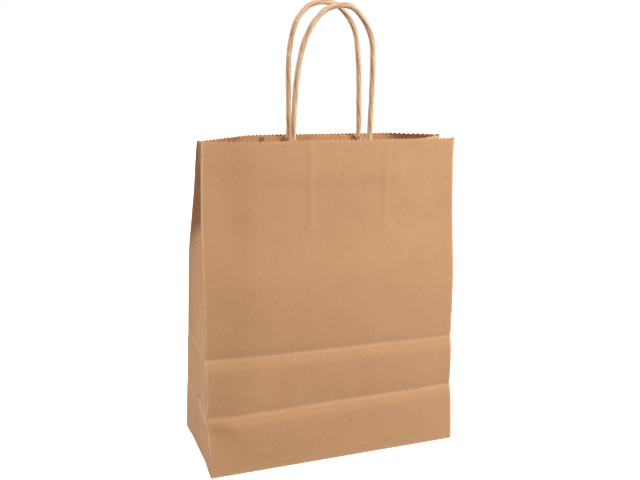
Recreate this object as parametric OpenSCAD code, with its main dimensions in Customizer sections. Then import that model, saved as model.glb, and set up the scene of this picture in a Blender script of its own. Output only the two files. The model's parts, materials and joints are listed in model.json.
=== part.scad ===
// Kraft paper gift bag with a block bottom, folded side gussets and two twisted paper handles.
// X runs along the front, +Y points to the back, Z is up. The origin is the centre of the base, on
// the surface that the bag stands on. The mouth is drawn half closed, as an empty bag stands.

/* [Bag] */
// Width of the front and back panels
bag_w = 180; // [160:1:240]
// Depth of the base, front to back
bag_d = 80; // [70:1:100]
// Height of the panels along the paper
bag_h = 220; // [200:1:300]
// Thickness of one layer of paper
sheet_t = 0.4; // [0.3:0.05:0.5]

/* [Mouth] */
// Distance that the front rim leans in from the base edge
front_lean = 20; // [16:0.5:24]
// Distance that the middle of the back rim leans in
back_lean = 23; // [18:0.5:26]
// Extra lean of the back panel's top corners beyond its middle
corner_drop = 22.6; // [16:0.2:24]
// Difference between the left and right back corners, each side of their mean
corner_skew = 5.1; // [0:0.1:6]
// Pitch of the saw-tooth cut along the rim
tooth_pitch = 3.3; // [2.5:0.1:5]
// Depth of the saw-tooth cut
tooth_h = 1; // [0.5:0.1:1.5]

/* [Base] */
// Reach of the front base flap past the middle of the base
flap_lap = 12; // [8:1:20]
// Width of the glued side seam
seam_w = 14; // [10:1:18]

/* [Handles] */
// Diameter of the twisted paper cord
cord_d = 3.8; // [3:0.1:4]
// Distance of the cord's bend above the rim
bend_h = 5; // [4.5:0.5:8]
// Length of cord glued below the rim
glued_l = 18; // [12:1:24]
// Length of each handle patch
patch_l = 80; // [70:1:84]
// Height of each handle patch
patch_h = 20; // [18:1:26]

/* [Hidden] */

LEFT = -1;
RIGHT = 1;
FRONT = -1;
BACK = 1;

half_w = bag_w / 2;
half_d = bag_d / 2;
edge_x = half_w - sheet_t / 2;          // middle of the gusset paper
crease_h = half_d;                      // height at which the gusset's creases meet
leaf_w = half_d;                        // half of the gusset's width
back_columns = 2 * round(bag_w / tooth_pitch);
front_tilt = asin(front_lean / bag_h);
back_tilt = asin(back_lean / bag_h);
rim_z = bag_h * cos(front_tilt);
bend_z = rim_z + bend_h;
cord_r = cord_d / 2;
stub_drop = cord_r + 1.3;               // the glued ends stop this far below the bend
patch_off = 1.3;                        // the back patch spans the panel's bow this far inside it
cord_fit = 0.05;                        // clearance between a cord and its cover strip
ply_fit = 0.05;                         // clearance between two glued layers of paper

// Clear margins that let the folded plates turn
panel_margin = 0.7;                     // foot corners of the front and back panels
top_margin = 2.2;                       // top corners of the front panel
foot_margin = 1.4;                      // foot triangle of a gusset
web_margin = 0.6;                       // webs of a gusset
leaf_margin = 1.1;                      // leaves of a gusset
fold_spread = 1.2;                      // half of the gap between two leaves at their fold
flap_margin = 0.8;                      // folded edges of the two base flaps
tuck_margin = 1.2;                      // folded edges of the side tucks

// Places of a gusset's corners, measured inwards from the panels' faces
foot_in = 0.4;                          // foot corners, behind the panel's face
foot_lift = 0.6;                        // foot corners, above the floor
rim_drop = 0.5;                         // rim corners, below the rim
corner_in = 1.6;                        // rim corners, inside the bag's width
back_right_in = 4.5;                    // the same for the back right corner, which is drawn in
front_left_in = 2.8;                    // rim corners, behind the panel's face
front_right_in = 0.8;
back_in = 0.4;

kraft = [0.76, 0.59, 0.44];
kraft_dark = [0.66, 0.50, 0.36];
kraft_light = [0.80, 0.64, 0.49];

// Handle centre lines: [distance from the bag's centre, height above the rim]
front_route = [
    [-30, bend_h], [-29.5, 24], [-28, 42], [-25, 58], [-20.5, 69], [-15, 77], [-9, 82], [-1, 84.5],
    [7, 84], [14, 79], [19, 72], [22.5, 64], [24, 50], [24.2, 30], [24, bend_h]
];
back_route = [
    [-23, bend_h], [-23.5, 22], [-24, 48], [-22.7, 62], [-19.7, 73], [-15, 80.5], [-9, 85.5],
    [0, 87.5], [9, 86], [15.5, 81.5], [22, 74], [26, 63], [28.3, 42], [29.2, 22], [29.5, bend_h]
];
cord_steps = 2;                         // rings for each point of a route
cord_sides = 8;

function between(a, b, k) = a + k * (b - a);
function unit(v) = v / norm(v);

// Point at the given distances from three centres; side picks one of the two mirror solutions
function meeting_point(a, ra, b, rb, c, rc, side) =
    let (
        ex = unit(b - a),
        i = ex * (c - a),
        ey = unit(c - a - i * ex),
        ez = cross(ex, ey),
        d = norm(b - a),
        j = ey * (c - a),
        x = (ra * ra - rb * rb + d * d) / (2 * d),
        y = (ra * ra - rc * rc + i * i + j * j) / (2 * j) - i * x / j
    )
    a + x * ex + y * ey + side * sqrt(ra * ra - x * x - y * y) * ez;

// Rim of the back panel: bowed outwards in the middle, drawn in at its corners
function back_rim_y(x) =
    half_d - back_lean - corner_drop * pow(abs(x) / half_w, 4) + corner_skew * pow(x / half_w, 3);

// Points of the gussets. side is LEFT or RIGHT, face is FRONT or BACK.
function crease_point(side) = [side * edge_x, 0, crease_h];
function foot_corner(side, face) = [side * edge_x, face * (half_d - foot_in), foot_lift];
function corner_x(side, face) =
    side * (half_w - (face == BACK && side == RIGHT ? back_right_in : corner_in));
function rim_corner(side, face) =
    [corner_x(side, face),
     face == FRONT ? front_lean - half_d + (side == LEFT ? front_left_in : front_right_in)
                   : back_rim_y(side * half_w) - back_in,
     rim_z - rim_drop];
function fold_top(side) =
    meeting_point(crease_point(side), bag_h - crease_h,
                  rim_corner(side, FRONT), leaf_w, rim_corner(side, BACK), leaf_w, side);

// Saw-tooth line from a to b, with the teeth cut towards the point below
function saw(a, b, below) =
    let (
        n = 2 * round(norm(b - a) / tooth_pitch),
        cut = unit(below - (a + b) / 2) * tooth_h
    )
    [for (i = [0 : n]) between(a, b, i / n) + (i % 2 == 0 ? 0 : 1) * cut];

// Triangle with its sides moved inwards by d
function inset(tri, d) =
    let (
        sides = [norm(tri[2] - tri[1]), norm(tri[0] - tri[2]), norm(tri[1] - tri[0])],
        sum = sides[0] + sides[1] + sides[2],
        centre = (sides[0] * tri[0] + sides[1] * tri[1] + sides[2] * tri[2]) / sum,
        radius = norm(cross(tri[1] - tri[0], tri[2] - tri[0])) / sum
    )
    [for (p = tri) between(p, centre, d / radius)];

// Flat sheet of paper through a plane outline in space, centred on it
module sheet(outline) {
    o = outline[0];
    ex = unit(outline[1] - o);
    ez = unit(cross(ex, outline[len(outline) - 1] - o));
    ey = cross(ez, ex);
    multmatrix([[ex.x, ey.x, ez.x, o.x], [ex.y, ey.y, ez.y, o.y], [ex.z, ey.z, ez.z, o.z], [0, 0, 0, 1]])
        translate([0, 0, -sheet_t / 2]) linear_extrude(sheet_t)
            polygon([for (p = outline) [(p - o) * ex, (p - o) * ey]]);
}

// Places children drawn on a panel's inner face: X along the bag, Y inwards, Z up the paper
module on_front_panel() {
    translate([0, -half_d, 0]) rotate([-front_tilt, 0, 0]) translate([0, sheet_t, 0]) children();
}

module on_back_panel() {
    translate([0, half_d, 0]) rotate([back_tilt, 0, 0]) translate([0, -sheet_t - patch_off, 0])
        mirror([0, 1, 0]) children();
}

// Upright plate in the frame of on_front_panel, from y0 to y1
module upright(y0, y1) {
    translate([0, y1, 0]) rotate([90, 0, 0]) linear_extrude(y1 - y0) children();
}

/* Panels */

module front_panel() {
    foot_x = half_w - panel_margin;
    top_x = half_w - top_margin;
    foot_z = 0.5;
    teeth = 2 * round(2 * top_x / tooth_pitch);
    color(kraft) on_front_panel() upright(-sheet_t, 0) polygon(concat(
        [[-foot_x, foot_z], [foot_x, foot_z]],
        [for (i = [0 : teeth])
            [between(top_x, -top_x, i / teeth), bag_h - (i % 2 == 0 ? tooth_h : 0)]]
    ));
}

// The back panel narrows to the rim, by its bow, and more so on the right
taper = 0.02;
skew_in = 1.5;

// Point of the back panel's outer face, k from 0 at the foot to 1 at the rim
function back_point(x, k) =
    let (narrowed = (x - skew_in * k * abs(x / half_w)) * (1 - taper * k))
    [narrowed, between(half_d, back_rim_y(x), k), k * rim_z];

// Layer of the back panel from one column to another, between depths d0 and d1 from its outer face
module back_layer(first, last, d0, d1) {
    foot_k = 0.003;
    columns = [for (i = [first : last])
        between(panel_margin - half_w, half_w - panel_margin, i / back_columns)];
    n = len(columns);
    m = 2 * n;
    ring = function (depth) concat(
        [for (x = columns) back_point(x, foot_k) - [0, depth, 0]],
        [for (i = [n - 1 : -1 : 0])
            back_point(columns[i], 1 - (i % 2 == 0 ? 0 : tooth_h / bag_h)) - [0, depth, 0]]
    );
    halves = function (q) [[q[0], q[1], q[2]], [q[0], q[2], q[3]]];
    strips = [for (i = [0 : n - 2]) [i, i + 1, m - 2 - i, m - 1 - i]];
    edges = [for (i = [0 : m - 1]) [i, m + i, m + (i + 1) % m, (i + 1) % m]];
    inner = [for (q = strips) [q[3] + m, q[2] + m, q[1] + m, q[0] + m]];
    polyhedron(
        points = concat(ring(d0), ring(d1)),
        faces = [for (q = concat(strips, inner, edges)) each halves(q)]
    );
}

module back_panel() {
    color(kraft) back_layer(0, back_columns, 0, sheet_t);
}

// Edge of the sheet that is glued inside the back panel to close the bag into a tube
module side_seam_lap() {
    last = back_columns - 2;
    first = last - 2 * round(seam_w / tooth_pitch);
    color(kraft_dark) back_layer(first, last, sheet_t + ply_fit, 2 * sheet_t + ply_fit);
}

/* Gussets: a foot triangle on the base, a web along each panel, and two leaves that fold in */

module gusset_foot(side) {
    color(kraft_dark) sheet([
        [side * edge_x, -half_d + foot_margin, 0],
        [side * edge_x, half_d - foot_margin, 0],
        [side * edge_x, 0, crease_h - foot_margin]
    ]);
}

module gusset_web(side, face) {
    color(kraft)
        sheet(inset([foot_corner(side, face), rim_corner(side, face), crease_point(side)], web_margin));
}

module gusset_leaf(side, face) {
    spread = [0, face * fold_spread, 0];
    leaf = inset([crease_point(side) + spread / 2, rim_corner(side, face), fold_top(side) + spread],
                 leaf_margin);
    color(kraft_dark) sheet(concat([leaf[0]], saw(leaf[1], leaf[2], leaf[0])));
}

/* Base: two side tucks, then the back flap, then the front flap lapped under it */

flap_x = half_w - sheet_t;

module base_front_flap() {
    foot_y = -half_d + flap_margin;
    reach = flap_lap - foot_y;
    color(kraft) linear_extrude(sheet_t) polygon([
        [-flap_x, foot_y], [flap_x, foot_y], [flap_x - reach, flap_lap], [-flap_x + reach, flap_lap]
    ]);
}

// The back flap steps up over the edge of the front flap
module base_back_flap() {
    foot_y = half_d - flap_margin;
    step_y = flap_lap + 0.5;
    tip_y = -flap_lap;
    profile = [
        [foot_y, 0], [foot_y, sheet_t], [step_y + sheet_t, sheet_t], [step_y, 2 * sheet_t],
        [tip_y, 2 * sheet_t], [tip_y, sheet_t], [step_y - sheet_t, sheet_t], [step_y, 0]
    ];
    reach = foot_y - tip_y;
    color(kraft) intersection() {
        translate([-half_w, 0, 0]) rotate([90, 0, 90]) linear_extrude(bag_w) polygon(profile);
        translate([0, 0, -1]) linear_extrude(4) polygon([
            [-flap_x, foot_y + 1], [flap_x, foot_y + 1],
            [flap_x - reach, tip_y - 1], [-flap_x + reach, tip_y - 1]
        ]);
    }
}

module base_tuck(side) {
    foot_y = half_d - tuck_margin;
    color(kraft_dark) translate([0, 0, 2 * sheet_t]) linear_extrude(sheet_t) polygon([
        [side * flap_x, -foot_y], [side * flap_x, foot_y], [side * (flap_x - foot_y), 0]
    ]);
}

/* Handles, drawn in the frame of the panel's inner face */

cord_y = sheet_t + cord_r;              // cord centre, on top of the backing strip

function leg_xs(route) = [route[0].x, route[len(route) - 1].x];

module handle_backing() {
    upright(0, sheet_t) translate([-patch_l / 2, bag_h - patch_h])
        square([patch_l, patch_h - tooth_h - 0.2]);
}

module handle_ends(route) {
    top = (bend_z - stub_drop) / cos(front_tilt);
    for (x = leg_xs(route))
        translate([x, cord_y, bag_h - glued_l]) cylinder(h = top - bag_h + glued_l, d = cord_d);
}

// Outline of a cord lying on the backing strip, with a margin round it
module tent(x, margin) {
    r = cord_r + margin;
    translate([x, cord_y]) circle(r = r, $fn = 48);
    translate([x - r, 0]) square([2 * r, cord_y]);
}

// Cover strip: flat between the cords and raised in a tent over each of them
module handle_cover(route) {
    translate([0, 0, bag_h - patch_h]) linear_extrude(patch_h - tooth_h - 0.2) difference() {
        union() {
            translate([-patch_l / 2, sheet_t]) square([patch_l, sheet_t]);
            for (x = leg_xs(route)) tent(x, cord_fit + sheet_t);
        }
        for (x = leg_xs(route)) tent(x, cord_fit);
        translate([-patch_l, -patch_l]) square([2 * patch_l, patch_l + sheet_t]);
    }
}

// Smooth curve through the points of a route
function spline_point(p, i, t) =
    let (
        last = len(p) - 1,
        a = p[max(i - 1, 0)],
        b = p[i],
        c = p[min(i + 1, last)],
        d = p[min(i + 2, last)]
    )
    0.5 * (2 * b + (c - a) * t + (2 * a - 5 * b + 4 * c - d) * t * t
           + (3 * b - a - 3 * c + d) * t * t * t);

// Loop of cord along a route, one round-ended tube
module handle_loop(route, y) {
    last = len(route) - 1;
    line = [for (i = [0 : last - 1], k = [0 : cord_steps - 1]) spline_point(route, i, k / cord_steps),
            route[last]];
    n = len(line);
    along = function (i) unit(line[min(i + 1, n - 1)] - line[max(i - 1, 0)]);
    // Every ring as [centre, direction, radius], with the ends rounded off
    round_end = function (p, d, angles) [for (a = angles) [p + d * cord_r * sin(a), d, cord_r * cos(a)]];
    rings = concat(
        round_end(line[0], along(0), [-75, -50, -25]),
        [for (i = [0 : n - 1]) [line[i], along(i), cord_r]],
        round_end(line[n - 1], along(n - 1), [25, 50, 75])
    );
    count = len(rings);
    ring_points = function (r)
        [for (k = [0 : cord_sides - 1])
            let (a = 360 * k / cord_sides, s = r[2] * cos(a))
            [r[0].x + s * r[1].y, y + r[2] * sin(a), rim_z + r[0].y - s * r[1].x]];
    polyhedron(
        points = [for (r = rings) each ring_points(r)],
        faces = concat(
            [[for (k = [0 : cord_sides - 1]) k]],
            [[for (k = [cord_sides - 1 : -1 : 0]) (count - 1) * cord_sides + k]],
            [for (i = [0 : count - 2], k = [0 : cord_sides - 1])
                let (
                    a = i * cord_sides + k,
                    b = i * cord_sides + (k + 1) % cord_sides
                )
                each [[a, a + cord_sides, b], [b, a + cord_sides, b + cord_sides]]]
        )
    );
}

// Where the cord's centre line leaves each panel, at the height of its bend
function bend_y(lean, tilt, off) = half_d - lean * bend_z / rim_z - (sheet_t + off + cord_y) / cos(tilt);

front_bend_y = -bend_y(front_lean, front_tilt, 0);
back_bend_y = bend_y(back_lean, back_tilt, patch_off);

front_panel();
back_panel();
side_seam_lap();
gusset_foot(LEFT);  // left_gusset_foot
gusset_web(LEFT, FRONT);  // left_gusset_front_web
gusset_web(LEFT, BACK);  // left_gusset_back_web
gusset_leaf(LEFT, FRONT);  // left_gusset_front_leaf
gusset_leaf(LEFT, BACK);  // left_gusset_back_leaf
gusset_foot(RIGHT);  // right_gusset_foot
gusset_web(RIGHT, FRONT);  // right_gusset_front_web
gusset_web(RIGHT, BACK);  // right_gusset_back_web
gusset_leaf(RIGHT, FRONT);  // right_gusset_front_leaf
gusset_leaf(RIGHT, BACK);  // right_gusset_back_leaf
base_front_flap();
base_back_flap();
base_tuck(LEFT);  // base_left_tuck
base_tuck(RIGHT);  // base_right_tuck
color(kraft_light) on_front_panel() handle_backing();  // front_handle_backing
color(kraft) on_front_panel() handle_ends(front_route);  // front_handle_ends
color(kraft_light) on_front_panel() handle_cover(front_route);  // front_handle_cover
color(kraft) handle_loop(front_route, front_bend_y);  // front_handle_loop
color(kraft_light) on_back_panel() handle_backing();  // back_handle_backing
color(kraft) on_back_panel() handle_ends(back_route);  // back_handle_ends
color(kraft_light) on_back_panel() handle_cover(back_route);  // back_handle_cover
color(kraft) handle_loop(back_route, back_bend_y);  // back_handle_loop
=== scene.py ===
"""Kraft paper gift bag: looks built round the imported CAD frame. X runs along the front, +Y to the back, Z up."""

import json
import math

import bpy
import numpy as np
from mathutils import Matrix, Vector, noise


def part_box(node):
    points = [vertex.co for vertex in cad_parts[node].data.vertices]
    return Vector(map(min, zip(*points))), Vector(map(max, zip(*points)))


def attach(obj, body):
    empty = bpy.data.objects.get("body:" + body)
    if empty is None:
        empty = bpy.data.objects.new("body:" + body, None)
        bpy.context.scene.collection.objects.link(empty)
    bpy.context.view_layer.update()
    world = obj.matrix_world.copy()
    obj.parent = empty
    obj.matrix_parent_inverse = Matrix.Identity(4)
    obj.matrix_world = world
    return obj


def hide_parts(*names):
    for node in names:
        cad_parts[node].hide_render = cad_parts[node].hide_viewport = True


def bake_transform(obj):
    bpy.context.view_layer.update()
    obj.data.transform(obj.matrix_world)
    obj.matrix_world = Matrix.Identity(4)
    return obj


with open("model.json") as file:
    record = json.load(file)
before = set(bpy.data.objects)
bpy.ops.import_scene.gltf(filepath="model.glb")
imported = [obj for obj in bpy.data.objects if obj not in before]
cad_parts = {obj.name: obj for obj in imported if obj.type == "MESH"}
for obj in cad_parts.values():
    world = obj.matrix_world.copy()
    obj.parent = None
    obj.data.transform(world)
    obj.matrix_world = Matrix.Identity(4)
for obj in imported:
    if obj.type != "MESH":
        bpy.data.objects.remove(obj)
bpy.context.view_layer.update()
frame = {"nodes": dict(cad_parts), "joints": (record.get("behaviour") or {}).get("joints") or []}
MM = 0.001

# ---------------------------------------------------------------- sizes taken from the frame
CAD_LAYER = 0.4             # thickness of a layer of paper in the CAD
CAD_EDGE_GAP = 0.7          # the CAD's front panel stops this far short of the bag's edge
JOINTS = {j["name"]: j for j in frame["joints"]}
FRONT_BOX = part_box("front_panel")
HALF_D = -JOINTS["front_panel_swing"]["pos_m"][1] / MM      # half depth of the base
HALF_W = FRONT_BOX[1].x / MM + CAD_EDGE_GAP                 # half width of the bag
RIM_Z = FRONT_BOX[1].z / MM                                 # height of the rim
FRONT_LEAN = HALF_D + FRONT_BOX[1].y / MM - CAD_LAYER       # the front rim leans in by this much
BACK_LEAN = 23.0                                            # and the back rim by this much
CREASE_Z = JOINTS["left_gusset_front_fold"]["pos_m"][2] / MM
UPPER_CREASE_Z = 2 * CREASE_Z - 2.3                         # crease left by folding the base flat
GUSSET_X = JOINTS["right_gusset_front_fold"]["pos_m"][0] / MM
BEND_Z = JOINTS["front_handle_swing"]["pos_m"][2] / MM      # the handles bend at this height
FRONT_CORD_Y = JOINTS["front_handle_swing"]["pos_m"][1] / MM
BACK_CORD_Y = JOINTS["back_handle_swing"]["pos_m"][1] / MM

# ---------------------------------------------------------------- paper
PAPER = 0.36            # thickness of one layer as it is drawn
SHARP_FROM = 62         # the cut edges of a sheet are sharper than this many degrees
TOOTH_PITCH = 2.9
TOOTH_H = 1.0
FOLD_R = 0.8            # the paper turns a corner over this distance
SHEET_SHIFT = 500       # shift of the paper's pattern between one sheet and the next
CALM_BASE, CALM_RIM = 50, 14    # heights over which the unevenness fades out at the base and the rim
LEFT, RIGHT, FRONT, BACK = -1, 1, -1, 1

# Corner edges of the bag, each as (height, value): sideways place, and how far the edge sits in from
# the straight lean of its panel. The bag stands a little skewed to the left and its corners are soft.
FRONT_LEFT_X = [(0, -90.7), (22, -92.0), (33, -92.5), (37.5, -93.8), (43, -92.5), (70, -92.3),
                (110, -92.2), (160, -92.2), (195, -91.6), (RIM_Z, -90.8)]
FRONT_LEFT_IN = [(0, 0), (20, 1.1), (35, 3.0), (45, 2.7), (70, 2.7), (110, 2.6), (160, 3.8), (RIM_Z, 2.9)]
FRONT_RIGHT_X = [(0, 90), (29, 89.8), (43, 89.2), (83, 89.1), (117, 89.1), (150, 88.3), (182, 87.6),
                 (RIM_Z, 87.7)]
FRONT_RIGHT_IN = [(0, 0), (36, 0.9), (60, 0.2), (150, 0.4), (RIM_Z, 1)]
BACK_LEFT_X = [(0, -90), (44, -90.3), (147, -91.2), (RIM_Z, -92.2)]
BACK_RIGHT_X = [(0, 90), (60, 89.7), (140, 88.9), (RIM_Z, 86.2)]


def lerp(a, b, t):
    return a + (b - a) * t


def smooth(t):
    t = min(1.0, max(0.0, t))
    return t * t * (3 - 2 * t)


def bump(t):
    """1 at t = 0, falling smoothly to 0 at t = -1 and 1."""
    return 1 - smooth(abs(t))


def soft_ramp(t, width):
    """0 below t = 0 and t above it, with a corner rounded over width."""
    return width * math.log1p(math.exp(min(40.0, t / width)))


def curve(points, z):
    """Smooth curve through (height, value) points."""
    zs = [p[0] for p in points]
    vs = [p[1] for p in points]
    z = min(max(z, zs[0]), zs[-1])
    i = max(0, min(len(zs) - 2, sum(1 for a in zs if a <= z) - 1))
    slope = [(vs[k + 1] - vs[k]) / (zs[k + 1] - zs[k]) for k in range(len(zs) - 1)]
    inside = [(a + b) / 2 if a * b > 0 else 0 for a, b in zip(slope, slope[1:])]
    tangent = [slope[0]] + inside + [slope[-1]]
    h = zs[i + 1] - zs[i]
    t = (z - zs[i]) / h
    return ((1 + 2 * t) * (1 - t) ** 2 * vs[i] + t * (1 - t) ** 2 * h * tangent[i]
            + t * t * (3 - 2 * t) * vs[i + 1] + t * t * (t - 1) * h * tangent[i + 1])


def waves(x, z, seed, size):
    """Gentle unevenness of the paper, about -1 to 1, with waves about size millimetres long."""
    return noise.noise(Vector((x / size + seed, z / size - seed, seed * 1.7)))


def sheet_waves(x, z, layers):
    """A panel's unevenness from (height, seed, size) layers, fading out at the base and the rim."""
    fade = smooth(z / CALM_BASE) * smooth((RIM_Z - z) / CALM_RIM)
    return fade * sum(height * waves(x, z, seed, size) for height, seed, size in layers)


# ---------------------------------------------------------------- shape of the two panels
# The front's two pressed creases: height in the middle, rise per millimetre to the right, depth and
# reach of the valley, and depth of the fine line in it
FRONT_CREASES = [(CREASE_Z, 0.012, 1.7, 7, 0.42), (UPPER_CREASE_Z, -0.008, 1.8, 7.5, 0.36)]
LINE_REACH, LINE_ABOVE = 1.3, 1.2
CREASE_FADE, FADE_FROM_X, FADE_RUN = 0.25, -20, 110     # the valleys get shallower to the right
BACK_CREASES = [(CREASE_Z, 0.9, 6.5), (UPPER_CREASE_Z, 0.8, 7)]    # height, depth, reach

KINK_IN, KINK_DOWN = 8, 5           # place of the left corner's kink, from its edge and from the crease
KINK_OUT, KINK_HALF_W, KINK_HALF_H = 0.9, 14, 6.5
# How far the soft edges reach into the panel; the left one's reach grows with distance from a height
LEFT_EDGE_REACH, LEFT_EDGE_GROWTH, LEFT_EDGE_Z, LEFT_EDGE_RUN = 20, 22, 36, 40
LEFT_EDGE_END = 60
RIGHT_EDGE_REACH = 25

HOLLOW_X, HOLLOW_Z = -25, 153       # lowest point of the curved hollow across the front
HOLLOW_RISE, HOLLOW_RUN = 13, 72    # its line rises by the first over the second, to either side
HOLLOW_DEPTH, HOLLOW_BELOW, HOLLOW_ABOVE = 1.7, 34, 60
HOLLOW_SIDE = 25                    # it fades out over this distance at the sides
BULGE_OUT, BULGE_Z, BULGE_HALF_H, BULGE_HALF_W = 1.5, 118, 75, 120

PATCH_H, PATCH_HALF_W = 31, 52      # part of the front that the handle's patch holds flat
PATCH_FADE_H, PATCH_FADE_W = 8, 9   # distances over which its hold sets in
PATCH_HOLD = 0.85                   # share of the unevenness that it takes away
RIDGES = [(-19, 0.34), (35, 0.26)]  # ridges that run down from the rim: place and height
RIDGE_HALF_W, RIDGE_FROM_Z, RIDGE_RUN, RIDGE_RIM = 4.5, 148, 30, 10

FRONT_WAVES = [(0.5, 3.1, 46), (0.22, 7.7, 17)]
BACK_WAVES = [(0.6, 11.3, 50), (0.25, 5.9, 18)]

# Soft folds across the upper corners of the back panel: where each meets the rim and the edge
LEFT_FOLD = {"rim_x": 50, "edge_z": 142, "slope": 0.68}
RIGHT_FOLD = {"rim_x": 54, "edge_z": 158, "slope": 0.56}
FOLD_ROUND = 2.6
BACK_SAG = 3.4                      # the back panel's sides hang in by this much
SAG_FROM_X, SAG_RUN_X = 45, 45
SAG_FULL_Z, SAG_TOP_Z, SAG_TOP_RUN = 110, 180, 34       # full from the first height to the second


def pressed_crease(z, height, reach, above=2.6):
    """A crease pressed inwards: a valley that is sharp at its bottom, wide above and a flat facet below."""
    d = z - height
    if d > 0:
        return math.exp(-d / (reach * above))
    t = -d / reach
    return 1 - t if t < 0.8 else 1.25 * max(0.0, 1.2 - t) ** 2


def front_creases(x, z):
    """How far the front's pressed creases go in: each is a wide valley with a fine line in it."""
    across = 1 - CREASE_FADE * smooth((x - FADE_FROM_X) / FADE_RUN)
    depth = 0.0
    for middle, rise, valley, reach, line in FRONT_CREASES:
        height = middle + rise * x
        depth += valley * across * pressed_crease(z, height, reach)
        depth += line * pressed_crease(z, height, LINE_REACH, LINE_ABOVE)
    return depth


def front_edges(x, z):
    """How far the front leans in beside its two soft corner edges, less the kink in the left one."""
    from_left, from_right = x - curve(FRONT_LEFT_X, z), curve(FRONT_RIGHT_X, z) - x
    left_reach = LEFT_EDGE_REACH + LEFT_EDGE_GROWTH * smooth(abs(z - LEFT_EDGE_Z) / LEFT_EDGE_RUN)
    depth = curve(FRONT_LEFT_IN, z) * bump(from_left / left_reach)
    depth *= smooth(1.2 - from_left / LEFT_EDGE_END)
    depth += curve(FRONT_RIGHT_IN, z) * bump(from_right / RIGHT_EDGE_REACH)
    kink = bump((from_left - KINK_IN) / KINK_HALF_W) * bump((z - CREASE_Z + KINK_DOWN) / KINK_HALF_H)
    return depth - KINK_OUT * kink


def front_y(x, z):
    """Outer face of the front panel."""
    y = -HALF_D + FRONT_LEAN * z / RIM_Z + front_edges(x, z) + front_creases(x, z)
    held = smooth((z - RIM_Z + PATCH_H) / PATCH_FADE_H) * smooth((PATCH_HALF_W - abs(x)) / PATCH_FADE_W)
    loose = 1 - PATCH_HOLD * held
    above = z - HOLLOW_Z - HOLLOW_RISE * ((x - HOLLOW_X) / HOLLOW_RUN) ** 2
    hollow = bump(above / (HOLLOW_BELOW if above < 0 else HOLLOW_ABOVE))
    y += HOLLOW_DEPTH * loose * hollow * smooth((HALF_W - abs(x)) / HOLLOW_SIDE)
    y -= BULGE_OUT * bump((z - BULGE_Z) / BULGE_HALF_H) * bump(x / BULGE_HALF_W)
    y += loose * sheet_waves(x, z, FRONT_WAVES)
    shown = smooth((z - RIDGE_FROM_Z) / RIDGE_RUN) * smooth((RIM_Z - z) / RIDGE_RIM)
    for ridge_x, ridge_out in RIDGES:
        y -= ridge_out * bump((x - ridge_x) / RIDGE_HALF_W) * shown
    return y


def fold_over(x, z, fold):
    """How far a soft corner fold of the back panel leans in, x measured towards that corner."""
    run = (z - fold["edge_z"]) / (RIM_Z - fold["edge_z"])
    line = HALF_W - (HALF_W - fold["rim_x"]) * run
    return fold["slope"] * soft_ramp(x - line, FOLD_ROUND)


def back_y(x, z):
    """Outer face of the back panel."""
    y = HALF_D - BACK_LEAN * z / RIM_Z
    y -= fold_over(-x, z, LEFT_FOLD) + fold_over(x, z, RIGHT_FOLD)
    sag = BACK_SAG * smooth(z / SAG_FULL_Z) * (1 - smooth((z - SAG_TOP_Z) / SAG_TOP_RUN))
    y -= sag * smooth((abs(x) - SAG_FROM_X) / SAG_RUN_X)
    for height, depth, reach in BACK_CREASES:
        y -= depth * pressed_crease(z, height, reach)
    return y + sheet_waves(x, z, BACK_WAVES)


def face_y(face, x, z):
    return front_y(x, z) if face == FRONT else back_y(x, z)


def edge_x(side, face, z):
    if face == FRONT:
        return curve(FRONT_LEFT_X if side == LEFT else FRONT_RIGHT_X, z)
    return curve(BACK_LEFT_X if side == LEFT else BACK_RIGHT_X, z)


def edge_point(side, face, z):
    """Point on a corner edge of the bag, between the panel and the gusset wall."""
    x = edge_x(side, face, z)
    return Vector((x, face_y(face, x, z), z))


# ---------------------------------------------------------------- shape of the gussets
GUSSET_SHUT_Z = 118     # below this height the two walls meet and hide the fold between them
GUSSET_OPEN_Z = 150     # above this height the fold stands fully open
POCKET_Z = 174          # height where the open fold is pulled in furthest
POCKET_HALF = 58        # how far above and below that the pull reaches
POCKET_RIM = 16         # and the height below the rim over which it fades
POCKET_PULL = {(LEFT, FRONT): 4.5, (LEFT, BACK): 6.5, (RIGHT, FRONT): 2.5, (RIGHT, BACK): 3.0}
WALL_BOW = 1.6          # a wall's inner border bows in by this much halfway up
FOOT_BOW = 0.4          # the foot stands out by this much at the crease
FOOT_TILT = 1.3         # the triangle between the foot's two slanting creases leans in by up to this
FOOT_TILT_RUN = 34
FOOT_CREASE, FOOT_CREASE_REACH = 0.5, 2.2   # depth and half width of those creases
FOOT_TOP = 8            # the foot's shape ends this far above the crease
WALL_CREASE, WALL_CREASE_REACH = 0.8, 3.5
WALL_WAVE, WALL_WAVE_SIZE, WALL_CALM_BASE = 0.35, 22, 25
CREASE_POINT_OUT = 0.6  # the folds start this far outside the CAD's hinges
CORNER_IN, CORNER_DEEP, CORNER_DOWN = 0.9, 0.6, 0.3     # from the bag's corner to the gusset's crease
FOLD_TOP_Y = {LEFT: -14.1, RIGHT: -16.1}
FOLD_TOP_Z = 216.2
FOLD_TOP_IN = 1.2       # the fold's top lies this far past the CAD leaf's inner border

# Hollows of the gusset walls, each as (depth, height of its middle, reach above and below)
FRONT_WALL_HOLLOWS = [(1.2, 120, 80)]
WALL_HOLLOWS = {(LEFT, FRONT): FRONT_WALL_HOLLOWS, (LEFT, BACK): [(4.5, 176, 44), (1.2, 100, 60)],
                (RIGHT, FRONT): FRONT_WALL_HOLLOWS, (RIGHT, BACK): [(2.5, 176, 44), (1.2, 100, 60)]}


def crease_point(side):
    """Where a gusset's creases meet, in the middle of the bag's side."""
    return Vector((side * (GUSSET_X + CREASE_POINT_OUT), 0, CREASE_Z))


def rim_corner(side, face):
    """Where a gusset's outer crease meets the rim."""
    corner = edge_point(side, face, RIM_Z)
    return corner - Vector((side * CORNER_IN, face * CORNER_DEEP, CORNER_DOWN))


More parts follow.
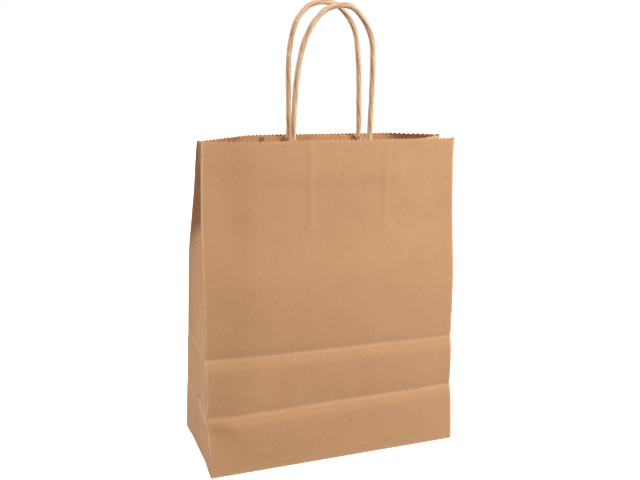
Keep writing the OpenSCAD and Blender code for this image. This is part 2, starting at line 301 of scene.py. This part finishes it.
def fold_top(side):
    """Top of the gusset's inward fold."""
    leaf_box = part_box(("left" if side == LEFT else "right") + "_gusset_front_leaf")
    inner_x = (leaf_box[1].x if side == LEFT else leaf_box[0].x) / MM
    return Vector((inner_x - side * FOLD_TOP_IN, FOLD_TOP_Y[side], FOLD_TOP_Z))


def wall_inner(side, face, z):
    """Inner border of a gusset wall: the middle of the foot, then the crease up to the rim corner."""
    if z <= CREASE_Z:
        return Vector((side * (HALF_W + FOOT_BOW * z / CREASE_Z), 0, z))
    k = (z - CREASE_Z) / (RIM_Z - CREASE_Z)
    p = crease_point(side).lerp(rim_corner(side, face), k)
    middle = crease_point(side).lerp((rim_corner(side, FRONT) + rim_corner(side, BACK)) / 2, k)
    closed = 1 - smooth((z - GUSSET_SHUT_Z) / (GUSSET_OPEN_Z - GUSSET_SHUT_Z))
    p = p.lerp(middle, closed)
    pull = POCKET_PULL[side, face] * bump((z - POCKET_Z) / POCKET_HALF)
    pull *= smooth((RIM_Z - z) / POCKET_RIM)
    p.x -= side * (WALL_BOW * math.sin(math.pi * k) + pull)
    p.z = z
    return p


def wall_point(side, face, z, t):
    """Point of a gusset wall, t from 0 at the bag's corner edge to 1 at its inner border."""
    p = edge_point(side, face, z).lerp(wall_inner(side, face, z), t)
    hollow = math.sin(math.pi * min(1.0, t) ** 0.75) ** 0.9
    for depth, middle, reach in WALL_HOLLOWS[side, face]:
        p.x -= side * depth * hollow * bump((z - middle) / reach)
    if z < CREASE_Z + FOOT_TOP:
        from_crease = abs(abs(p.y) + z - HALF_D)
        p.x -= side * FOOT_CREASE * math.exp(-from_crease / FOOT_CREASE_REACH) * smooth(t * 5)
        p.x -= side * FOOT_TILT * smooth((HALF_D - z - abs(p.y)) / FOOT_TILT_RUN)
    p.x -= side * WALL_CREASE * pressed_crease(z, CREASE_Z, WALL_CREASE_REACH) * smooth(t * 4)
    wave = waves(p.y, z, 2.3 + side, WALL_WAVE_SIZE)
    p.x += side * WALL_WAVE * wave * smooth(t * 3) * smooth(z / WALL_CALM_BASE)
    return p


# ---------------------------------------------------------------- mesh helpers
ROW_STEP = 2.8                      # distance between mesh rows far from the creases and the base
NEAR_STEPS = [(5, 1.0), (10, 1.8)]  # nearer than the first number, the rows are the second apart
ROWS_END = 1.2                      # the even rows end this far under the notches of the rim's teeth
TOOTH_FOOT = 0.9                    # and one more row lies this far under them


def row_heights():
    """Heights of the mesh rows: closer together near the creases and the base."""
    z, rows = 0.0, []
    while z < RIM_Z - TOOTH_H - ROWS_END:
        rows.append(z)
        near = min(abs(z - CREASE_Z), abs(z - UPPER_CREASE_Z), z)
        z += next((step for reach, step in NEAR_STEPS if near < reach), ROW_STEP)
    return rows + [RIM_Z - TOOTH_H - TOOTH_FOOT, RIM_Z]


def grid_faces(rows, columns, flip):
    faces = []
    for r in range(rows - 1):
        for c in range(columns - 1):
            a = r * columns + c
            quad = (a, a + 1, a + 1 + columns, a + columns)
            faces.append(quad[::-1] if flip else quad)
    return faces


def new_piece(name, points, faces, uvs, wear_and_painted_light, material):
    """Mesh piece from points in millimetres, with a paper UV map in metres and an attribute that marks wear,
    painted highlight and painted shade.
    """
    mesh = bpy.data.meshes.new(name)
    mesh.from_pydata([Vector(p) * MM for p in points], [], faces)
    layer = mesh.uv_layers.new(name="paper")
    loop_points = np.zeros(len(mesh.loops), int)
    mesh.loops.foreach_get("vertex_index", loop_points)
    layer.data.foreach_set("uv", (np.array(uvs, float) * MM)[loop_points].ravel())
    wear_and_painted_light_values = mesh.attributes.new("wear_and_painted_light", "FLOAT", "POINT")
    wear_and_painted_light_values.data.foreach_set("value", np.array(wear_and_painted_light, np.float32))
    mesh.polygons.foreach_set("use_smooth", [True] * len(mesh.polygons))
    mesh.validate()
    mesh.materials.append(material)
    piece = bpy.data.objects.new(name, mesh)
    bpy.context.scene.collection.objects.link(piece)
    return piece


def thicken(piece):
    """Gives a sheet its paper thickness inwards, applied to the mesh."""
    solid = piece.modifiers.new("thickness", "SOLIDIFY")
    solid.thickness = PAPER * MM
    solid.offset = -1
    solid.use_even_offset = False
    bpy.context.view_layer.update()
    evaluated = piece.evaluated_get(bpy.context.evaluated_depsgraph_get())
    mesh = bpy.data.meshes.new_from_object(evaluated)
    old = piece.data
    piece.modifiers.clear()
    piece.data = mesh
    bpy.data.meshes.remove(old)
    mesh.name = piece.name
    mesh.set_sharp_from_angle(angle=math.radians(SHARP_FROM))


# ---------------------------------------------------------------- materials
KRAFT_TONES = {"base": (0.610, 0.334, 0.168), "dark": (0.535, 0.284, 0.138), "light": (0.72, 0.43, 0.24)}
PATCH_TONES = {"base": (0.64, 0.360, 0.187), "dark": (0.57, 0.311, 0.156), "light": (0.73, 0.45, 0.26)}
PALE_WEAR_AND_HIGHLIGHT = (0.86, 0.57, 0.37)           # pale specks, wear at the rim, base and leaf folds, and painted highlight along the corner folds and creases
SPECK = (0.16, 0.075, 0.03)
SPECK_SCALE = 190                   # cells per metre that may hold a speck
DARK_SPECK, PALE_SPECK = 0.55, 0.28     # how strongly the two kinds of speck show
# the cord's third colour is painted shade in the grooves between the plies
CORD_DARK, CORD_LIGHT, CORD_GROOVE_SHADE = (0.63, 0.385, 0.215), (0.86, 0.585, 0.375), (0.34, 0.17, 0.08)
FIBRES, CROSS_FIBRES, CROSS_TURN = (1700, 190), (1500, 260), 62     # per metre, and in degrees
STRANDS = (1300, 120)               # strands across and along the cord, per metre


class Nodes:
    """Short calls for building one material's node tree."""

    def __init__(self, name, on_node=False):
        self.on_node = on_node
        self.material = bpy.data.materials.new(name)
        self.material.use_nodes = True
        self.tree = self.material.node_tree
        self.shader = self.tree.nodes["Principled BSDF"]

    def add(self, kind, **settings):
        node = self.tree.nodes.new(kind)
        for key, value in settings.items():
            setattr(node, key, value)
        return node

    def feed(self, socket, value):
        """Gives a socket a number, a colour or another node's output."""
        if isinstance(value, (int, float)):
            socket.default_value = value
        elif isinstance(value, tuple):
            socket.default_value = (*value, 1)
        else:
            self.tree.links.new(value, socket)

    def shade(self, **values):
        """Feeds the shader's own sockets, named with _ for a space."""
        for key, value in values.items():
            self.feed(self.shader.inputs[key.replace("_", " ")], value)

    def paper_uv(self, stretch=(1, 1), turn=0.0):
        """Coordinates in metres, turned and stretched: along the sheet, or in space on a CAD node."""
        mapping = self.add("ShaderNodeMapping")
        mapping.inputs["Scale"].default_value = (stretch[0], stretch[1], stretch[1])
        mapping.inputs["Rotation"].default_value = (0, 0, math.radians(turn))
        if self.on_node:
            place = self.add("ShaderNodeTexCoord").outputs["Object"]
        else:
            place = self.add("ShaderNodeUVMap", uv_map="paper").outputs["UV"]
        self.feed(mapping.inputs["Vector"], place)
        return mapping.outputs["Vector"]

    def noise(self, vector, scale, detail, roughness):
        node = self.add("ShaderNodeTexNoise")
        values = {"Vector": vector, "Scale": scale, "Detail": detail, "Roughness": roughness}
        for key, value in values.items():
            self.feed(node.inputs[key], value)
        return node.outputs["Fac"]

    def math(self, operation, a, b, clamp=False):
        node = self.add("ShaderNodeMath", operation=operation, use_clamp=clamp)
        self.feed(node.inputs[0], a)
        self.feed(node.inputs[1], b)
        return node.outputs[0]

    def weighted(self, *terms):
        """Sum of (value, weight) terms."""
        parts = [self.math("MULTIPLY", value, weight) for value, weight in terms]
        total = parts[0]
        for part in parts[1:]:
            total = self.math("ADD", total, part)
        return total

    def ramp(self, value, low, high, out_low=0.0, out_high=1.0):
        node = self.add("ShaderNodeMapRange", clamp=True)
        values = {"Value": value, "From Min": low, "From Max": high, "To Min": out_low, "To Max": out_high}
        for key, number in values.items():
            self.feed(node.inputs[key], number)
        return node.outputs["Result"]

    def mix(self, factor, a, b):
        node = self.add("ShaderNodeMix", data_type="RGBA")
        for key, value in (("Factor", factor), ("A", a), ("B", b)):
            self.feed(node.inputs[key], value)
        return node.outputs["Result"]

    # mask for wear, for painted highlight along folds and creases, and for painted shade in the cord's grooves
    def wear_and_painted_light(self):
        return self.add("ShaderNodeAttribute", attribute_name="wear_and_painted_light").outputs["Fac"]

    def bump(self, height, distance, strength):
        node = self.add("ShaderNodeBump")
        values = {"Height": height, "Distance": distance * MM, "Strength": strength}
        for key, value in values.items():
            self.feed(node.inputs[key], value)
        self.shade(Normal=node.outputs["Normal"])


def add_specks(n, colour):
    """Scattered bits in the pulp: a few cells of a cell pattern hold a pale speck or a dark one."""
    cells = n.add("ShaderNodeTexVoronoi")
    n.feed(cells.inputs["Scale"], SPECK_SCALE)
    n.feed(cells.inputs["Vector"], n.paper_uv((1, 0.7)))
    chance = n.add("ShaderNodeSeparateColor")
    n.feed(chance.inputs["Color"], cells.outputs["Color"])
    distance = cells.outputs["Distance"]
    holds_pale, holds_dark = (n.ramp(chance.outputs["Green"], 0.80, 0.88),
                              n.ramp(chance.outputs["Red"], 0.85, 0.92))
    pale = n.math("MULTIPLY", n.ramp(distance, 0.04, 0.17, 1, 0), holds_pale)
    dark = n.math("MULTIPLY", n.ramp(distance, 0.05, 0.15, 1, 0), holds_dark)
    colour = n.mix(n.math("MULTIPLY", pale, PALE_SPECK), colour, PALE_WEAR_AND_HIGHLIGHT)
    return n.mix(n.math("MULTIPLY", dark, DARK_SPECK), colour, SPECK)


def paper_material(name, tones, on_node=False):
    """Kraft paper: clouded pulp, fibres along the sheet, specks, and a paler colour along the folds: painted
    highlight with wear at the corner folds, painted highlight on the pressed creases, wear at the rim and base.
    """
    n = Nodes(name, on_node)
    sheet = n.paper_uv()
    cloud = n.noise(sheet, 55, 4, 0.6)
    wide_cloud = n.noise(sheet, 19, 3, 0.55)
    pulp = n.noise(sheet, 520, 5, 0.7)
    fibres = n.noise(n.paper_uv(FIBRES), 1, 3, 0.6)
    cross_fibres = n.noise(n.paper_uv(CROSS_FIBRES, CROSS_TURN), 1, 2, 0.6)
    tone = n.weighted((cloud, 0.30), (pulp, 0.35), (fibres, 0.45))
    colour = n.mix(n.ramp(tone, 0.35, 0.75), tones["dark"], tones["base"])
    colour = n.mix(n.ramp(wide_cloud, 0.32, 0.60, 0.22, 0), colour, tones["dark"])
    colour = n.mix(n.ramp(cross_fibres, 0.55, 0.75, 0, 0.35), colour, tones["light"])
    colour = add_specks(n, colour)
    # paler mix from the mask: painted highlight on the corner folds and pressed creases, wear at the rim, base and
    # leaf folds
    wear_and_painted_light = n.math("MULTIPLY", n.wear_and_painted_light(), n.ramp(pulp, 0.3, 0.65, 0.5, 1), clamp=True)
    colour = n.mix(n.math("MULTIPLY", wear_and_painted_light, 0.9), colour, PALE_WEAR_AND_HIGHLIGHT)
    n.shade(Base_Color=colour, Roughness=n.ramp(pulp, 0.3, 0.7, 0.66, 0.86), Specular_IOR_Level=0.16)
    n.bump(n.weighted((pulp, 0.5), (fibres, 0.5), (cloud, 0.8)), 0.16, 0.55)
    return n.material


def cord_material(name):
    """Twisted paper: strands along the ply, with painted shade in the grooves between the plies."""
    n = Nodes(name)
    strands = n.noise(n.paper_uv(STRANDS), 1, 4, 0.65)
    patches = n.noise(n.paper_uv(), 130, 3, 0.6)
    tone = n.weighted((strands, 0.6), (patches, 0.4))
    colour = n.mix(n.ramp(tone, 0.36, 0.66), CORD_DARK, CORD_LIGHT)
    # painted shade in the grooves between the plies
    colour = n.mix(n.math("MULTIPLY", n.wear_and_painted_light(), 0.75, clamp=True), colour, CORD_GROOVE_SHADE)
    n.shade(Base_Color=colour, Roughness=n.ramp(strands, 0.3, 0.7, 0.55, 0.8), Specular_IOR_Level=0.35)
    n.bump(strands, 0.22, 0.6)
    return n.material


KRAFT = paper_material("kraft_paper", KRAFT_TONES)
NODE_KRAFT = paper_material("kraft_paper_on_node", KRAFT_TONES, on_node=True)
NODE_PATCH = paper_material("patch_paper_on_node", PATCH_TONES, on_node=True)
CORD = cord_material("twisted_cord")

# ---------------------------------------------------------------- the two shells: panel and gusset walls
WALL_COLUMNS = 14
ARC_COLUMNS = 6
ARC_STEP = 0.2          # length of paper between two points of a corner fold
ARC_SHARE = 0.2         # share of a wall's width that the corner fold can reach into
PANEL_COLUMNS = 2 * round(2 * HALF_W / TOOTH_PITCH)
# the corner folds get a painted highlight mixed with wear, the pressed creases a painted highlight, the rim and
# base wear
CORNER_WEAR_AND_HIGHLIGHT, CREASE_HIGHLIGHT, RIM_WEAR, BASE_WEAR = 0.8, 0.22, 0.45, 0.5
CREASE_HIGHLIGHT_REACH, RIM_WEAR_REACH, BASE_WEAR_REACH = 1.2, 0.7, 0.8


def corner_arc(side, face, z):
    """Points round a corner edge, from the wall to the panel: a small soft fold."""
    corner = edge_point(side, face, z)
    toward_wall = wall_point(side, face, z, ARC_SHARE) - corner
    toward_wall.z = 0
    reach = min(FOLD_R, toward_wall.length * 2)
    a = corner + toward_wall.normalized() * reach
    bx = edge_x(side, face, z) - side * FOLD_R
    b = Vector((bx, face_y(face, bx, z), z))
    return [a * (1 - t) ** 2 + corner * 2 * t * (1 - t) + b * t * t
            for t in [i / (ARC_COLUMNS - 1) for i in range(ARC_COLUMNS)]]


def wall_row(side, face, z, arc_start):
    """One wall's points from its inner border to the corner fold, and their places along the sheet."""
    width = HALF_D if z <= CREASE_Z else HALF_D * (RIM_Z - z) / (RIM_Z - CREASE_Z)
    corner = wall_point(side, face, z, 0)
    points, places = [], []
    for i in range(WALL_COLUMNS):
        t = 1 - i / WALL_COLUMNS
        p = wall_point(side, face, z, t)
        in_corner = smooth(1 - t * (corner - p).length / FOLD_R) if t < ARC_SHARE else 0
        points.append(p.lerp(arc_start, in_corner))
        places.append(HALF_W + t * width)
    return points, places


def panel_row(face, z, x0, x1, top):
    """The panel's points between its corner folds, and their places; a top row has notches for teeth."""
    points, places = [], []
    for i in range(1, PANEL_COLUMNS):
        u = i / PANEL_COLUMNS
        x = lerp(x0, x1, u)
        notch = TOOTH_H if top and i % 2 == 0 else 0
        points.append(Vector((x, face_y(face, x, z), z - notch)))
        places.append(lerp(-HALF_W, HALF_W, u))
    return points, places


def shell_row(face, z, top):
    """One row of a shell, from the left wall's inner border round the panel to the right wall's."""
    left_arc, right_arc = corner_arc(LEFT, face, z), corner_arc(RIGHT, face, z)
    left_wall, left_places = wall_row(LEFT, face, z, left_arc[0])
    right_wall, right_places = wall_row(RIGHT, face, z, right_arc[0])
    panel, panel_places = panel_row(face, z, left_arc[-1].x, right_arc[-1].x, top)
    arc_places = [HALF_W - i * ARC_STEP for i in range(ARC_COLUMNS)]
    row = left_wall + left_arc + panel + right_arc[::-1] + right_wall[::-1]
    across = [-p for p in left_places + arc_places] + panel_places + arc_places[::-1] + right_places[::-1]
    return row, across


def wear_and_highlight_at(x, z, in_corner):
    """How pale the paper is drawn: painted highlight with wear along its corner folds, painted highlight along its
    pressed creases, wear at its rim and its base.
    """
    corner = CORNER_WEAR_AND_HIGHLIGHT * (0.7 + 0.45 * waves(z, 4.0, 9.1, 14)) if in_corner else 0
    crease_highlight = CREASE_HIGHLIGHT + 0.2 * waves(x, z, 6.6, 19)
    crease = crease_highlight * math.exp(-min(abs(z - CREASE_Z), abs(z - UPPER_CREASE_Z)) / CREASE_HIGHLIGHT_REACH)
    rim = RIM_WEAR * math.exp(-max(0.0, RIM_Z - z) / RIM_WEAR_REACH)
    return max(corner, crease, rim, BASE_WEAR * math.exp(-z / BASE_WEAR_REACH))


def shell(name, face, nodes):
    """One panel with the gusset walls at its two ends, as one folded sheet."""
    heights = row_heights()
    points, uvs, wear_and_painted_light = [], [], []
    left_arc = range(WALL_COLUMNS, WALL_COLUMNS + ARC_COLUMNS)
    for z in heights:
        row, across = shell_row(face, z, z == heights[-1])
        count = len(row)
        arcs = {*left_arc, *(count - 1 - c for c in left_arc)}
        points += row
        uvs += [(a * face + SHEET_SHIFT * (face + 2), p.z) for a, p in zip(across, row)]
        wear_and_painted_light += [wear_and_highlight_at(p.x, p.z, c in arcs) for c, p in enumerate(row)]
    piece = new_piece(name, points, grid_faces(len(heights), count, face == BACK), uvs, wear_and_painted_light, KRAFT)
    thicken(piece)
    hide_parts(*nodes)
    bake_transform(piece)


# ---------------------------------------------------------------- gusset leaves, folded into the bag
LEAF_ROWS = 46
LEAF_COLUMNS = 24
LEAF_FROM = 0.004       # the leaf starts this share of its height above the crease point
LEAF_FLAP = 6.0         # width hidden behind the gusset wall, which shows as the mouth opens
LEAF_FLAP_SHARE = 0.8   # but at most this share of the wall's width
LEAF_BEHIND = 0.8       # how far inside the wall's face it lies
LEAF_BULGE, LEAF_WAVE = 0.5, 0.25
LEAF_WEAR, LEAF_WEAR_REACH = 0.35, 0.8


def behind_wall(side, face, z, t):
    p = wall_point(side, face, z, t)
    p.x -= side * LEAF_BEHIND
    return p


def leaf_row(side, face, k, top):
    """One row of a leaf as (t, point) pairs, t from 0 at its outer crease to 1 at the fold, after the
    end of its hidden flap. k runs from 0 at the crease point to 1 at the rim."""
    outer = rim_corner(side, face) if top else wall_inner(side, face, lerp(CREASE_Z, RIM_Z, k))
    z = outer.z
    wall_width = (edge_point(side, face, z) - outer).length
    flap = min(LEAF_FLAP / max(wall_width, 1), LEAF_FLAP_SHARE)
    border, inner = behind_wall(side, face, z, 1), crease_point(side).lerp(fold_top(side), k)
    row = [(0, behind_wall(side, face, z, 1 - flap))]
    for c in range(LEAF_COLUMNS + 1):
        t = c / LEAF_COLUMNS
        p = border.lerp(inner, t)
        p.y += face * LEAF_BULGE * k * math.sin(math.pi * t)
        p.y += LEAF_WAVE * k * waves(t * 40, k * 180, 4.4 + side, 20) * math.sin(math.pi * t)
        row.append((t, p))
    if top:
        for _, p in row[::2]:
            p.z -= TOOTH_H
    return row


def leaf(side, face):
    """Half of a gusset's inward fold, from its outer crease to the fold."""
    side_name = "left" if side == LEFT else "right"
    face_name = "front" if face == FRONT else "back"
    name = f"{side_name}_gusset_{face_name}_leaf"
    points, uvs, wear_and_painted_light = [], [], []
    for r in range(LEAF_ROWS):
        k = lerp(LEAF_FROM, 1, r / (LEAF_ROWS - 1))
        top = r == LEAF_ROWS - 1
        for t, p in leaf_row(side, face, k, top):
            across = side * (HALF_W + HALF_D * lerp(1 - k, 1, t)) * face
            to_fold = min(t, 1 - t) * k * HALF_D
            points.append(p)
            uvs.append((across + SHEET_SHIFT * (face + 2), lerp(CREASE_Z, RIM_Z, k)))
            wear_and_painted_light.append(max(LEAF_WEAR * math.exp(-to_fold / LEAF_WEAR_REACH), RIM_WEAR if top else 0))
    faces = grid_faces(LEAF_ROWS, LEAF_COLUMNS + 2, (side == LEFT) != (face == FRONT))
    piece = new_piece(name + "_paper", points, faces, uvs, wear_and_painted_light, KRAFT)
    thicken(piece)
    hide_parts(name)
    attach(piece, f"{side_name}_gusset_{face_name}")


# ---------------------------------------------------------------- twisted paper handles
# Routes of the cords' centre lines as (sideways place, height above the rim)
FRONT_ROUTE = [
    (-30, 5), (-29.5, 24), (-28, 42), (-25, 58), (-20.5, 69), (-15, 77), (-9, 82), (-1, 84.5),
    (7, 84), (14, 79), (19, 72), (22.5, 64), (24, 50), (24.2, 30), (24, 5),
]
BACK_ROUTE = [
    (-23, 5), (-23.5, 22), (-24, 48), (-22.7, 62), (-19.7, 73), (-15, 80.5), (-9, 85.5),
    (0, 87.5), (9, 86), (15, 81.5), (21, 74), (24.8, 63), (27.2, 42), (28.2, 22), (28.8, 5),
]
CORD_R = 1.8
CORD_STEP = 0.9         # distance between rings
CORD_SIDES = 36
PLY_TURN = 64.0         # length of cord in one turn of its two plies
GLUED = 18.0            # length of each end glued under the patch
GLUED_PLACES = (1, 0.6, 0.3)    # route points on that length, as shares of it
PANEL_LENGTH = 220      # from base to rim along the paper
SPLINE_STEPS = 8        # points between two route points
END_GIRTHS = (0.35, 0.675)      # the last rings at each end close in to these shares of the radius
GROOVE_DEPTH, GROOVE_SHARPNESS = 0.13, 16
FACET, CRINKLE, UNEVEN_GIRTH, UNEVEN_TWIST = 0.035, 0.02, 0.045, 0.5


def spline(points, per_span):
    """Smooth line through points in space."""
    out = []
    for i in range(len(points) - 1):
        a, b, c, d = (points[max(i - 1, 0)], points[i], points[i + 1], points[min(i + 2, len(points) - 1)])
        for k in range(per_span):
            t = k / per_span
            out.append(0.5 * (2 * b + (c - a) * t + (2 * a - 5 * b + 4 * c - d) * t * t
                              + (3 * b - a - 3 * c + d) * t ** 3))
    return out + [points[-1]]


def even_steps(line, step):
    """The same line with points step apart."""
    lengths = np.cumsum([0] + [(b - a).length for a, b in zip(line, line[1:])])
    count = max(2, round(lengths[-1] / step))
    table = np.array([tuple(p) for p in line])
    places = np.linspace(0, lengths[-1], count + 1)
    return [Vector([np.interp(s, lengths, table[:, k]) for k in range(3)]) for s in places]


def cord_line(route, y, face):
    """A cord's centre line in even steps, with both ends running down along the panel, glued on."""
    tilt = math.asin((FRONT_LEAN if face == FRONT else BACK_LEAN) / PANEL_LENGTH)
    drop = Vector((0, face * math.sin(tilt), -math.cos(tilt)))
    line = [Vector((x, y, RIM_Z + h)) for x, h in route]
    length = GLUED + BEND_Z - RIM_Z
    first, last = ([p + drop * (length * share) for share in GLUED_PLACES] for p in (line[0], line[-1]))
    return even_steps(spline(first + line + last[::-1], SPLINE_STEPS), CORD_STEP)


def cord_ring(p, along, s, y, closing):
    """One ring of two-ply cord, s along it, as (point, turn from the plies, groove) for each side."""
    u = along.cross(Vector((0, 1, 0))).normalized()
    v = u.cross(along)
    phase = 2 * math.pi * s / PLY_TURN + UNEVEN_TWIST * noise.noise(Vector((s / 23, y, 0)))
    girth = 1 + UNEVEN_GIRTH * noise.noise(Vector((s / 9, y, 3)))
    ring = []
    for k in range(CORD_SIDES):
        a = 2 * math.pi * k / CORD_SIDES
        turn = a - phase
        groove = abs(math.cos(turn)) ** GROOVE_SHARPNESS
        facet = FACET * math.cos(5 * turn + 0.9 * math.sin(s / 11)) * (1 - groove)
        crinkle = CRINKLE * noise.noise(Vector((turn * 2.2, s / 6, y)))
        r = CORD_R * girth * closing * (1 - GROOVE_DEPTH * groove + facet + crinkle)
        ring.append((p + (u * math.cos(a) + v * math.sin(a)) * r, turn, groove))
    return ring


def cord_faces(rings):
    """Faces between the cord's rings, and a cap at each end."""
    faces = []
    for i in range(rings - 1):
        for k in range(CORD_SIDES):
            n = (k + 1) % CORD_SIDES
            here, above = i * CORD_SIDES, (i + 1) * CORD_SIDES
            faces.append((here + k, here + n, above + n, above + k))
    faces.append(tuple(range(CORD_SIDES))[::-1])
    faces.append(tuple((rings - 1) * CORD_SIDES + k for k in range(CORD_SIDES)))
    return faces


def handle(name, route, y, face, nodes):
    """A handle of two-ply twisted paper cord, with both ends running down behind the patch."""
    line = cord_line(route, y, face)
    last = len(line) - 1
    points, uvs, wear_and_painted_light = [], [], []
    for i, p in enumerate(line):
        along = (line[min(i + 1, last)] - line[max(i - 1, 0)]).normalized()
        from_end = min(i, last - i)
        closing = END_GIRTHS[from_end] if from_end < len(END_GIRTHS) else 1.0
        for point, turn, groove in cord_ring(p, along, i * CORD_STEP, y, closing):
            points.append(point)
            uvs.append((turn * CORD_R, i * CORD_STEP))
            # groove mask, for the painted shade between the plies
            wear_and_painted_light.append(groove ** 2)
    piece = new_piece(name, points, cord_faces(len(line)), uvs, wear_and_painted_light, CORD)
    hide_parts(*nodes)
    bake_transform(piece)


def make_bag():
    shell("front_shell", FRONT,
          ["front_panel", "left_gusset_front_web", "right_gusset_front_web", "left_gusset_foot"])
    shell("back_shell", BACK,
          ["back_panel", "left_gusset_back_web", "right_gusset_back_web", "right_gusset_foot"])
    for side in (LEFT, RIGHT):
        for face in (FRONT, BACK):
            leaf(side, face)
    handle("front_handle_cord", FRONT_ROUTE, FRONT_CORD_Y, FRONT,
           ["front_handle_ends", "front_handle_loop"])
    handle("back_handle_cord", BACK_ROUTE, BACK_CORD_Y, BACK,
           ["back_handle_ends", "back_handle_loop"])


def finish_cad_nodes():
    """CAD pieces that are plain folded paper keep their shape and get the paper's finish."""
    for name, node in frame["nodes"].items():
        if node.hide_render:
            continue
        for slot in node.material_slots:
            slot.link = "OBJECT"
            slot.material = NODE_PATCH if "backing" in name or "cover" in name else NODE_KRAFT


# ---------------------------------------------------------------- camera, floor and light
CAMERA_AT = (-202.5, -504.2, 283.0)
CAMERA_YAW = 21.61          # degrees turned from +Y towards +X
CAMERA_PITCH = 14.12        # degrees down
CAMERA_ROLL = -1.67
FOCAL_SHARE = 802 / 640     # focal length over the picture's width
SENSOR = 36.0
CLIP_M = (0.01, 50)

FLOOR_HALF_M, FLOOR_Z_M = 8.0, -0.0004
FLOOR_LOOK = {"Base Color": (0.82, 0.82, 0.82, 1), "Roughness": 0.9, "Specular IOR Level": 0.1,
              "Emission Color": (1, 1, 1, 1), "Emission Strength": 0.8}
ROOM_LIGHT, ROOM_SEEN = 0.24, 1.0       # the white room's light on the bag, and as the camera sees it

# Soft studio lights: name, place and size in metres, power in watts
LIGHT_TARGET = (0, 0, 0.12)
LIGHTS = [
    ("key", (0.72, -0.55, 0.55), 0.35, 8.3),
    ("top_front", (0.0, -0.75, 1.5), 0.6, 9),
    ("fill_left", (-0.9, 0.62, 0.78), 0.5, 11),
    ("front_left", (-1.0, -1.3, 0.3), 0.8, 2),
    ("back_soft", (0.4, 1.7, 1.0), 0.9, 20),
]


def add_camera():
    yaw, pitch, roll = (math.radians(a) for a in (CAMERA_YAW, CAMERA_PITCH, CAMERA_ROLL))
    forward = Vector((math.sin(yaw) * math.cos(pitch), math.cos(yaw) * math.cos(pitch), -math.sin(pitch)))
    level = Vector((math.cos(yaw), -math.sin(yaw), 0))
    down = forward.cross(level)
    right = level * math.cos(roll) + down * math.sin(roll)
    up = -(down * math.cos(roll) - level * math.sin(roll))
    data = bpy.data.cameras.new("camera")
    data.sensor_width = SENSOR
    data.lens = SENSOR * FOCAL_SHARE
    data.clip_start, data.clip_end = CLIP_M
    camera = bpy.data.objects.new("camera", data)
    turn = Matrix((right, up, -forward)).transposed()
    camera.matrix_world = Matrix.Translation(Vector(CAMERA_AT) * MM) @ turn.to_4x4()
    bpy.context.scene.collection.objects.link(camera)
    bpy.context.scene.camera = camera


def add_area(name, place, size, power):
    data = bpy.data.lights.new(name, "AREA")
    data.shape = "DISK"
    data.size = size
    data.energy = power
    light = bpy.data.objects.new(name, data)
    light.location = Vector(place)
    aim = Vector(LIGHT_TARGET) - Vector(place)
    light.rotation_euler = aim.to_track_quat("-Z", "Y").to_euler()
    bpy.context.scene.collection.objects.link(light)


def add_floor():
    mesh = bpy.data.meshes.new("floor")
    corners = [(x * FLOOR_HALF_M, y * FLOOR_HALF_M, FLOOR_Z_M)
               for x, y in ((-1, -1), (1, -1), (1, 1), (-1, 1))]
    mesh.from_pydata(corners, [], [(0, 1, 2, 3)])
    floor = bpy.data.objects.new("floor", mesh)
    bpy.context.scene.collection.objects.link(floor)
    material = bpy.data.materials.new("pale_floor")
    material.use_nodes = True
    shader = material.node_tree.nodes["Principled BSDF"]
    for key, value in FLOOR_LOOK.items():
        shader.inputs[key].default_value = value
    mesh.materials.append(material)
    floor.visible_diffuse = False


def add_room():
    """A plain white room, dimmer as a light than it looks."""
    world = bpy.data.worlds.new("studio")
    bpy.context.scene.world = world
    world.use_nodes = True
    tree = world.node_tree
    path = tree.nodes.new("ShaderNodeLightPath")
    strength = tree.nodes.new("ShaderNodeMapRange")
    strength.inputs["To Min"].default_value = ROOM_LIGHT
    strength.inputs["To Max"].default_value = ROOM_SEEN
    tree.links.new(path.outputs["Is Camera Ray"], strength.inputs["Value"])
    background = tree.nodes["Background"]
    background.inputs["Color"].default_value = (1, 1, 1, 1)
    tree.links.new(strength.outputs["Result"], background.inputs["Strength"])


def add_stage():
    add_floor()
    add_room()
    for light in LIGHTS:
        add_area(*light)
    bpy.context.scene.view_settings.view_transform = "Standard"


add_camera()
make_bag()
finish_cad_nodes()
add_stage()
